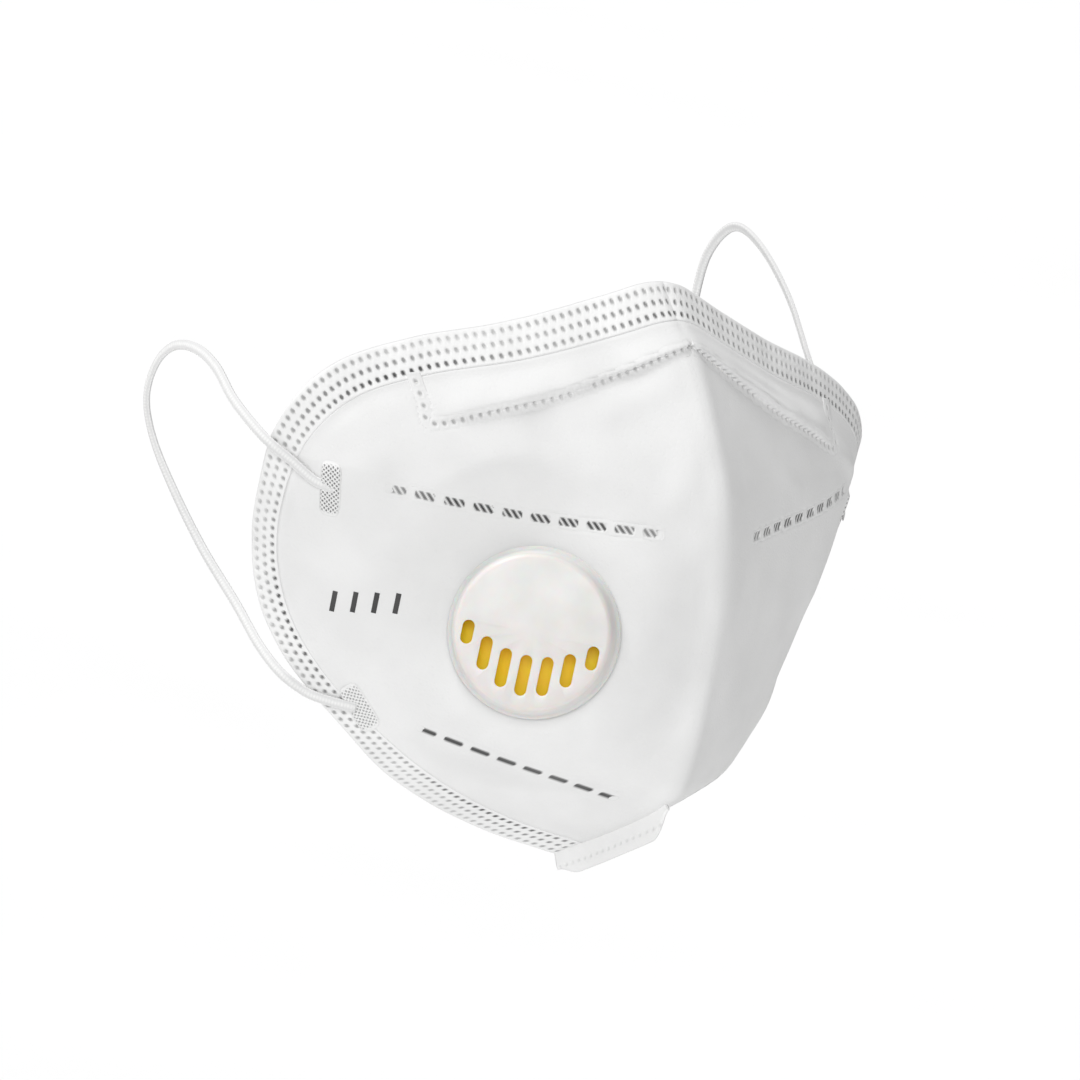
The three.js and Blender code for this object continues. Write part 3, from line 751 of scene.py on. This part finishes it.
def ear_loop(name, loop, node):
    """A flat knitted elastic along its route, its flat side on the cloth where it lies on it."""
    side = loop["side"]
    route = np.concatenate([
        on_cloth(side, loop["leave"], ON_CLOTH), loop["free"], on_cloth(side, loop["enter"], ON_CLOTH),
    ])
    line = spline(route, 40)
    total = along(line)[-1]
    where = np.linspace(0, total, int(total / LOOP_STEP))
    line = at_length(line, where)
    tangent = np.gradient(line, axis=0)
    tangent /= np.linalg.norm(tangent, axis=1, keepdims=True)
    thick = outward(side, loop["leave"][:2])[0]
    normals = []
    for t in tangent:
        thick = thick - t * (thick @ t)
        thick /= np.linalg.norm(thick)
        normals.append(thick)
    normals = np.array(normals)
    # The turn left over at the far end is spread along the free stretch.
    want = outward(side, loop["enter"][-2:])[-1]
    across = np.cross(tangent[-1], normals[-1])
    spare = math.atan2(want @ across, want @ normals[-1])
    spare = (spare + math.pi / 2) % math.pi - math.pi / 2
    twist = spare * smooth(total * 0.2, total * 0.85, where)
    sideways = np.cross(tangent, normals)
    thick_axis = normals * np.cos(twist)[:, None] + sideways * np.sin(twist)[:, None]
    wide_axis = np.cross(tangent, thick_axis)
    corners = LOOP_CORNERS
    angle = np.linspace(0, 2 * math.pi, corners, endpoint=False)
    wide = np.sign(np.cos(angle)) * np.abs(np.cos(angle)) ** 0.8 * LOOP_WIDTH / 2
    tall = np.sign(np.sin(angle)) * np.abs(np.sin(angle)) ** 0.8 * LOOP_THICK / 2
    end = np.minimum(where, total - where)
    squeeze = 0.35 + 0.65 * smooth(0, 5, end)
    ribs = 1 + 0.035 * np.sin(where * 7.0)
    ring = (line[:, None] + wide_axis[:, None] * (wide[None] * ribs[:, None])[..., None]
            + thick_axis[:, None] * (tall[None] * (squeeze * ribs)[:, None])[..., None])
    rows = len(line)
    index = np.arange(rows * corners).reshape(rows, corners)
    turn = np.roll(index, -1, axis=1)
    faces = np.stack([index[:-1], turn[:-1], turn[1:], index[1:]], -1).reshape(-1, 4)
    caps = []
    for row in (index[0], index[-1][::-1]):
        caps += [(row[k], row[corners - 1 - k], row[corners - 2 - k], row[k + 1])
                 for k in range(corners // 2 - 1)]
    faces = np.concatenate([faces, np.array(caps)])
    values = {
        "along": np.repeat(where, corners),
        "around": np.tile(np.linspace(0, 1, corners) * LOOP_WIDTH / 2.5, rows),
    }
    piece = new_object(name, ring.reshape(-1, 3), faces, ELASTIC, values)
    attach(piece, "mask")
    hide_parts(node)


ear_loop("ear_band_left", LEFT_LOOP, "ear_loop_left")
ear_loop("ear_band_right", RIGHT_LOOP, "ear_loop_right")


# ------------------------------------------------------------------ cloth body
STACK_AT_BAND, STACK_GROWS, STACK_REACH = 1.0, 1.9, 7.0
COVER_THICK, GROOVE_DEPTH = 0.3, 0.55


def half_grid(edge, across_steps, down_steps):
    """Flat places and sides of a grid over both halves, left cheek to right cheek."""
    s = np.linspace(-1, 1, 2 * across_steps + 1)
    t = np.linspace(0, 1, down_steps + 1)
    s, t = np.meshgrid(s, t)
    return coons(edge, np.abs(s), t), np.sign(s)


def thickness(gap):
    """Depth of the innermost face of the stacked cloth, by distance inside the band's inner line."""
    return STACK_AT_BAND + STACK_GROWS * smooth(0.0, STACK_REACH, gap)


def line_groove(side, places):
    """How far the cover gives way under the pressed lines, which are pieces of their own."""
    groove = np.zeros(places.shape[:-1])
    for kind, (line, _) in LINES.items():
        gap, _ = nearest(line, places)
        here = {"upper": side < 0, "upper_right": side > 0}.get(kind, True)
        groove = np.maximum(groove, here * GROOVE_DEPTH * (1 - smooth(0.75, 1.2, gap)))
    return groove


def outside_hole(points):
    """Cells of a grid whose middle isn't in the valve's hole."""
    middle = (points[:-1, :-1] + points[1:, 1:]) / 2 - VALVE_CENTRE
    from_axis = middle - (middle @ VALVE_OUT)[..., None] * VALVE_OUT
    near = np.linalg.norm(middle, axis=-1) < 25
    return ~((np.linalg.norm(from_axis, axis=-1) < CLOTH_HOLE_RADIUS + 0.4) & near)


def cloth_sheet(name, node, material, steps, follow_relief, share=None):
    """One cloth layer inside the band. share is its place in the stack; the cover has none."""
    places, side = half_grid(BAND_INNER if share else COVER_EDGE, *steps)
    a, z = places[..., 0], places[..., 1]
    gap, _ = nearest(BAND_INNER_COARSE, places)
    out = relief(side, a, z) * follow_relief * edge_fade(gap)
    if share:
        low, high = share
        top = low * thickness(gap) - out
        bottom = high * thickness(gap) - out
    else:
        top = 0.2 * (1 - smooth(0, 2.5, gap)) - out
        bottom = top + COVER_THICK
        top = top + line_groove(side, places)
        bottom = np.maximum(bottom, top + 0.12)
    side = np.where(side == 0, 1, side)
    outer = body_points(side, a, z, top)
    inner = body_points(side, a, z, bottom)
    unmarked = {"pressed": np.zeros(a.shape)}
    piece = closed_sheet(name, outer, inner, material, unmarked, outside_hole(outer))
    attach(piece, "mask")
    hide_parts(node)
    return piece


BAND_INNER_COARSE = at_share(BAND_INNER, np.linspace(0, 1, 200))
SHEETS = [
    cloth_sheet("cover_cloth", "outer_cover", COVER_CLOTH, (124, 146), 1.0),
    cloth_sheet("cotton_sheet", "cotton_layer", COTTON, (56, 64), 0.1, (0.24, 0.5)),
    cloth_sheet("filter_sheet", "meltblown_filter", FILTER, (56, 64), 0.1, (0.58, 0.72)),
    cloth_sheet("lining_sheet", "inner_lining", LINING_CLOTH, (96, 110), 0.15, (0.82, 1.0)),
]


def dots(gap, where, rows, radius, pitch, skew=0.33):
    """Height and darkness of rows of pressed dots beside a line."""
    height = np.zeros_like(gap)
    dark = np.zeros_like(gap)
    for k, row in enumerate(rows):
        shifted = (where / pitch + k * skew) % 1 - 0.5
        far = np.hypot(shifted * pitch, gap - row)
        pit = 1 - smooth(radius * 0.5, radius, far)
        rim = np.exp(-(((far - radius * 1.25) / (radius * 0.35)) ** 2))
        height = height - 0.3 * pit + 0.06 * rim
        tone = DOT_TONES[k] if len(rows) == 3 else 0.5
        slow = 0.78 + 0.22 * np.sin(where / 13 + k)
        dark = np.maximum(dark, pit * tone * slow)
    return height, dark


def edge_band():
    """The pressed and welded edge of all layers: three rows of dots on both faces."""
    columns, rows = 780, 26
    share = np.linspace(0, 1, columns)
    outer_line, inner_line = at_share(EDGE, share), at_share(BAND_INNER, share)
    step = np.linspace(0, 1, rows)[:, None, None]
    half = outer_line[None] * (1 - step) + inner_line[None] * step
    half = np.concatenate([half[:, ::-1], half[:, 1:]], axis=1)
    side = np.concatenate([-np.ones(columns), np.ones(columns - 1)])[None] * np.ones((rows, 1))
    a, z = half[..., 0], half[..., 1]
    gap, where = nearest(EDGE_COARSE, half)
    gap = gap / band_share(where)
    height, dark = dots(gap, where, DOT_ROWS, DOT_RADIUS, DOT_PITCH)
    lip = smooth(0, 0.7, gap)
    ripple = 0.08 * np.sin(where / 3.1) + 0.05 * np.sin(where / 1.7 + 1)
    tuck = 0.75 * smooth(BAND_WIDTH - 0.9, BAND_WIDTH - 0.5, gap)
    front = 0.32 - 0.1 * lip - height + ripple * (1 - smooth(5.5, 7, gap)) + tuck
    back = 1.0 + 0.1 * lip + height * 0.8 + ripple
    back = np.maximum(back, front + 0.15)
    outer = body_points(side, a, z, front)
    inner = body_points(side, a, z, back)
    piece = closed_sheet("edge_band", outer, inner, BAND_CLOTH, {"pressed": dark})
    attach(piece, "mask")


edge_band()


def pressed_line(name, side, line, kind):
    """A narrow strip of the cover with the dashes or dots that were pressed into it."""
    length = along(line)[-1]
    spare = LINES[kind][1]
    where = np.linspace(-spare, length + spare, int((length + 2 * spare) / 0.24))
    inner = np.clip(where, 0, length)
    middle = at_length(line, inner)
    step = np.gradient(at_length(line, np.clip(where, 0.01, length - 0.01)), axis=0)
    first, last = line[1] - line[0], line[-1] - line[-2]
    step = np.where((where < 0)[:, None], first, np.where((where > length)[:, None], last, step))
    step /= np.linalg.norm(step, axis=1, keepdims=True)
    middle = middle + step * (where - inner)[:, None]
    normal = np.stack([-step[:, 1], step[:, 0]], -1)
    offset = np.linspace(-LINE_HALF_WIDTH, LINE_HALF_WIDTH, 15)
    places = middle[None] + normal[None] * offset[:, None, None]
    a, z = np.maximum(places[..., 0], 0.05), places[..., 1]
    u, v = np.broadcast_arrays(where[None], offset[:, None])
    if kind == "pocket":
        shifted = (u / DOT_PITCH) % 1 - 0.5
        far = np.hypot(shifted * DOT_PITCH, v)
        mark = 1 - smooth(0.25, 0.62, far)
        mark = mark * (1 - (np.abs(u - 47.0) < 2.4))
        height, dark = -0.3 * mark, 0.42 * mark * (0.8 + 0.2 * np.sin(u / 9))
        height = height + 0.1 * np.exp(-(((far - 0.8) / 0.22) ** 2))
    else:
        phase = ((u + DASH_PITCH / 2) / DASH_PITCH) % 1 - 0.5
        upper = kind == "upper"
        half_tall = 0.85 if upper else 0.52
        past = np.abs(phase * DASH_PITCH) - (DASH_HALF_LENGTH - DASH_ROUND)
        box = np.hypot(np.maximum(past, 0) / DASH_ROUND, v / half_tall)
        mark = 1 - smooth(0.75, 1.1, box)
        number = np.floor((u + DASH_PITCH / 2) / DASH_PITCH)
        hatch = smooth(-0.9, 0.3, np.sin(u * 4.1 - v * 3.3 + 2.3 * number)) if upper else 1.0
        fade = 0.98 - 0.35 * smooth(12, 30, np.abs(u - length / 2)) if upper else 1.0
        height = -0.34 * mark * (0.6 + 0.4 * hatch)
        dark = np.minimum(mark * hatch * fade * 1.1, 1)
        height = height + 0.07 * np.exp(-(((box - 1.45) / 0.3) ** 2))
    gap, _ = nearest(BAND_INNER_COARSE, np.stack([a, z], -1))
    out = relief(np.full(a.shape, float(side)), a, z) * edge_fade(gap)
    away = smooth(1.0, LINE_HALF_WIDTH, np.abs(v))
    ends = smooth(spare - 0.7, spare, np.maximum(-u, u - length)) if spare > 1 else 0 * u
    flush = np.maximum(away, ends)
    front = -out - 0.012 - height * (1 - flush) + 0.05 * flush
    outer = body_points(side, a, z, front)
    under = body_points(side, a, z, np.maximum(front + 0.12, -out + 0.42))
    piece = closed_sheet(name, outer, under, COVER_CLOTH, {"pressed": dark})
    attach(piece, "mask")


LABELS = {"upper": "upper_dashes_", "lower": "lower_dashes_", "pocket": "nose_pocket_weld_"}
for word, side in (("left", -1), ("right", 1)):
    for kind, label in LABELS.items():
        line = LINES["upper_right" if kind == "upper" and side > 0 else kind][0]
        pressed_line(label + word, side, line, kind)


def weld_patch(name, node, side, centre, tilt):
    """A hatched pad that welds a loop's end to the cloth."""
    long = np.linspace(-1, 1, 81)
    wide = np.linspace(-1, 1, 37)
    u, v = np.meshgrid(long, wide)
    # The square grid is drawn in to a rounded outline.
    x = v * np.sqrt(np.maximum(1 - 0.22 * u**4, 0)) * PAD_WIDTH / 2
    y = u * (1 - 0.16 * v**4) * PAD_LENGTH / 2
    a = centre[0] + x * math.cos(tilt) + y * math.sin(tilt)
    z = centre[1] - x * math.sin(tilt) + y * math.cos(tilt)
    edge = np.maximum(np.abs(u), np.abs(v))
    rise = 1 - smooth(0.8, 1.0, edge)
    p, q = (x + y) / 0.98, (x - y) / 0.98
    pit = (np.abs((p % 1) - 0.5) < 0.27) & (np.abs((q % 1) - 0.5) < 0.27)
    pit = pit * (1 - smooth(0.82, 0.93, edge))
    swell = 0.12 * np.sin(y / 1.9)
    gap, _ = nearest(BAND_INNER_COARSE, np.stack([a, z], -1))
    out = relief(np.full(a.shape, float(side)), a, z) * edge_fade(gap)
    front = -out - 0.15 - (0.5 + swell) * rise + 0.22 * pit
    outer = body_points(side, a, z, front)
    inner = body_points(side, a, z, -out + 0.1)
    tone = 0.85 if centre[1] > 0 else 0.6
    piece = closed_sheet(name, outer, inner, WELDED, {"pressed": pit * tone})
    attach(piece, "mask")
    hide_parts(node)


for word, side in (("left", -1), ("right", 1)):
    weld_patch(f"weld_patch_upper_{word}", f"loop_weld_upper_{word}", side, UPPER_PAD, 0.0)
    weld_patch(f"weld_patch_lower_{word}", f"loop_weld_lower_{word}", side, LOWER_PAD, math.radians(45))


def printed_bars():
    """Four plain printed bars on the cheek, in place of the printed standard mark."""
    ends = np.array([(83.0, -14.0), (69.5, -11.2)])
    for k in range(4):
        centre = ends[0] + (ends[1] - ends[0]) * k / 3
        u, v = np.meshgrid(np.linspace(-0.55, 0.55, 7), np.linspace(-2.3, 2.3, 21))
        a, z = centre[0] + u, centre[1] + v
        out = relief(np.full(a.shape, -1.0), a, z)
        outer = body_points(-1, a, z, -out - 0.06)
        inner = body_points(-1, a, z, -out + 0.06)
        piece = closed_sheet(f"printed_bar_{k + 1}", outer, inner, INK)
        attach(piece, "mask")


printed_bars()


def chin_fin():
    """The welded fin along the chin slope, pressed flat, with a soft outer edge."""
    z = np.linspace(-64.4, -44.5, 110)
    y = through(RIDGE_PROFILE, z) + 0.5 * RIDGE_ROUND * np.cos(panel_angle(0, 0 * z, z))
    slope = np.gradient(y, z)
    out = np.stack([-np.ones_like(z), slope], -1)
    out /= np.linalg.norm(out, axis=1, keepdims=True)
    fade = smooth(0, 0.16, (z - z[0]) / np.ptp(z)) * 0.35 + 0.65
    fade *= 1 - 0.75 * smooth(0.78, 1, (z - z[0]) / np.ptp(z))
    reach = np.linspace(-0.4, 1, 26)
    width = np.where(reach[:, None] < 0, reach[:, None] * 1.2, reach[:, None] * 5.6 * fade[None])
    y_grid, z_grid = y[None] + out[None, :, 0] * width, z[None] + out[None, :, 1] * width
    where = along(np.stack([y, z], -1))[None] * np.ones((26, 1))
    height, dark = dots(width, where, (3.2,), 0.5, 2.0)
    half_thick = 0.38 * (1 - 0.6 * smooth(0.75, 1.0, reach))[:, None] + height * 0.5
    half_thick = np.maximum(half_thick, 0.1)
    sway = 0.25 * np.sin(where / 4.5) * smooth(0, 4, width)
    outer = np.stack([sway + half_thick, y_grid, z_grid], -1)
    inner = np.stack([sway - half_thick, y_grid, z_grid], -1)
    piece = closed_sheet("chin_fin", outer, inner, WELDED, {"pressed": dark * 0.35})
    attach(piece, "mask")
    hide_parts("chin_seam")


chin_fin()


def foam_strip():
    """The soft strip inside the nose bridge, thin at its edges."""
    s = np.linspace(-1, 1, 131)
    t = np.linspace(0, 1, 27)
    s, t = np.meshgrid(s, t)
    a = np.abs(s) * 42
    top = np.interp(a, NOSE_EDGE[:, 0], NOSE_EDGE[:, 1]) - BAND_WIDTH - 1.5
    z = top - t * 8.0
    swell = np.sqrt(np.clip(1 - (2 * t - 1) ** 4, 0, 1)) * np.sqrt(np.clip(1 - s**8, 0, 1))
    gap, _ = nearest(BAND_INNER_COARSE, np.stack([a, z], -1))
    base = thickness(gap) + 0.15
    side = np.where(s < 0, -1.0, 1.0)
    lumps = 0.15 * np.sin(a / 3.3) * np.sin(t * 6)
    outer = body_points(side, a, z, base + (3.0 + lumps) * swell + 0.1)
    inner = body_points(side, a, z, base)
    piece = closed_sheet("foam_strip", outer, inner, FOAM)
    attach(piece, "mask")
    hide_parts("nose_foam")


foam_strip()


def clip_strip():
    """The bendable metal strip under the cover at the nose, with two wires pressed along it."""
    s, t = np.meshgrid(np.linspace(-1, 1, 181), np.linspace(0, 1, 13))
    a = np.abs(s) * 50
    top = np.interp(a, NOSE_EDGE[:, 0], NOSE_EDGE[:, 1]) - BAND_WIDTH - 2.6
    z = top - t * 4.2
    side = np.where(s < 0, -1.0, 1.0)
    gap, _ = nearest(BAND_INNER_COARSE, np.stack([a, z], -1))
    out = relief(side, a, z) * edge_fade(gap)
    beads = 0.14 * np.exp(-(((t - 0.25) / 0.1) ** 2)) + 0.14 * np.exp(-(((t - 0.75) / 0.1) ** 2))
    outer = body_points(side, a, z, -out + 0.62 - beads)
    inner = body_points(side, a, z, -out + 0.85 + beads)
    piece = closed_sheet("clip_strip", outer, inner, METAL)
    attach(piece, "mask")
    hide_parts("nose_clip")


clip_strip()

# ------------------------------------------------------------------ exhalation valve
BORE, LIP, NECK, FLANGE = 11.6, 12.7, 14.4, 18.4
FLANGE_BACK, FLANGE_FRONT, LIP_FRONT, NECK_BACK = 0.5, 1.35, 2.2, -6.2
FLAP_RADIUS, FLAP_BACK, FLAP_THICK, FLAP_TOP = 15.6, 2.5, 0.5, 9.5
BUTTON_RADIUS = 3.2
SLOT_PITCH, SLOT_RADIUS, SLOTS_EACH_SIDE = 4.5, 1.3, 3
RING_FRONT = -3.9
COVER_BACK, COVER_FRONT, FACE_RADIUS = 1.65, 9.4, 15.7
FACE_WALL = 1.1


def stadium(x, middle, reach, radius, corners=10):
    upper = [(x + radius * math.cos(a), middle + reach + radius * math.sin(a))
             for a in np.linspace(0, math.pi, corners)]
    lower = [(x + radius * math.cos(a), middle - reach + radius * math.sin(a))
             for a in np.linspace(math.pi, 2 * math.pi, corners)]
    return upper + lower


def valve_cap():
    inner_face = COVER_FRONT - FACE_WALL
    profile = [
        (0, inner_face), (15.0, inner_face), (15.5, inner_face - 0.5), (16.9, COVER_BACK),
        (FLANGE, COVER_BACK), (FLANGE, COVER_BACK + 0.6), (FLANGE - 0.25, COVER_BACK + 0.95),
        (17.75, COVER_BACK + 1.15), (17.45, COVER_BACK + 1.6), (16.95, 7.6), (16.75, 8.5),
        (16.4, 9.05), (16.05, 9.3), (FACE_RADIUS, COVER_FRONT), (0, COVER_FRONT),
    ]
    piece = lathe("valve_cap", profile, SHELL)
    slots = []
    for k in range(-SLOTS_EACH_SIDE, SLOTS_EACH_SIDE + 1):
        x = k * SLOT_PITCH
        reach = 4.4 - 0.01 * x * x - SLOT_RADIUS
        outline = stadium(x, -9.3 + 0.036 * x * x, reach, SLOT_RADIUS)
        slots.append(prism(outline, inner_face - 2, COVER_FRONT + 2))
    combine(piece, slots, "DIFFERENCE")
    soften(piece, 0.18)
    into_place(piece)
    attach(piece, "mask")
    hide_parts("valve_cover")


def rectangle(width, height, x=0.0, y=0.0):
    return [(x - width / 2, y - height / 2), (x + width / 2, y - height / 2),
            (x + width / 2, y + height / 2), (x - width / 2, y + height / 2)]


def valve_base():
    profile = [
        (BORE, NECK_BACK), (NECK, NECK_BACK), (NECK, FLANGE_BACK), (FLANGE, FLANGE_BACK),
        (FLANGE, FLANGE_FRONT), (LIP + 0.6, FLANGE_FRONT), (LIP, LIP_FRONT), (BORE, LIP_FRONT),
    ]
    piece = lathe("valve_base", profile, SEAT, 96)
    span = 2 * BORE + 0.6
    parts = [
        prism(rectangle(1.4, span), -0.8, 0.8), prism(rectangle(span, 1.4), -0.81, 0.79),
        prism(rectangle(13, 2.6, 0, FLAP_TOP + 1.8), 1.0, 3.6),
    ]
    combine(piece, parts, "UNION")
    soften(piece, 0.15, 2)
    into_place(piece)
    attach(piece, "mask")
    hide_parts("valve_seat")


def valve_leaf():
    start = math.asin(FLAP_TOP / FLAP_RADIUS)
    outline = [(FLAP_RADIUS * math.cos(a), FLAP_RADIUS * math.sin(a))
               for a in np.linspace(math.pi - start, 2 * math.pi + start, 90)]
    piece = prism(outline, FLAP_BACK, FLAP_BACK + FLAP_THICK)
    piece.name = piece.data.name = "valve_leaf"
    button = [(BUTTON_RADIUS * math.cos(a), BUTTON_RADIUS * math.sin(a))
              for a in np.linspace(0, 2 * math.pi, 72, endpoint=False)]
    combine(piece, [prism(button, FLAP_BACK + 0.1, FLAP_BACK + FLAP_THICK + 0.2)], "UNION")
    piece.data.materials.clear()
    piece.data.materials.append(YELLOW)
    soften(piece, 0.12, 2)
    into_place(piece)
    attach(piece, "flap")
    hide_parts("valve_flap")


def valve_ring():
    front = RING_FRONT
    profile = [
        (NECK + 0.3, front), (NECK + 0.3, front - 1.5), (15.4, front - 1.75), (17.2, front - 1.5),
        (18.0, front - 0.9), (18.0, front),
    ]
    piece = lathe("valve_ring", profile, SEAT, 96)
    soften(piece, 0.15, 2)
    into_place(piece)
    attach(piece, "mask")
    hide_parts("valve_lock_ring")


valve_cap()
valve_base()
valve_leaf()
valve_ring()
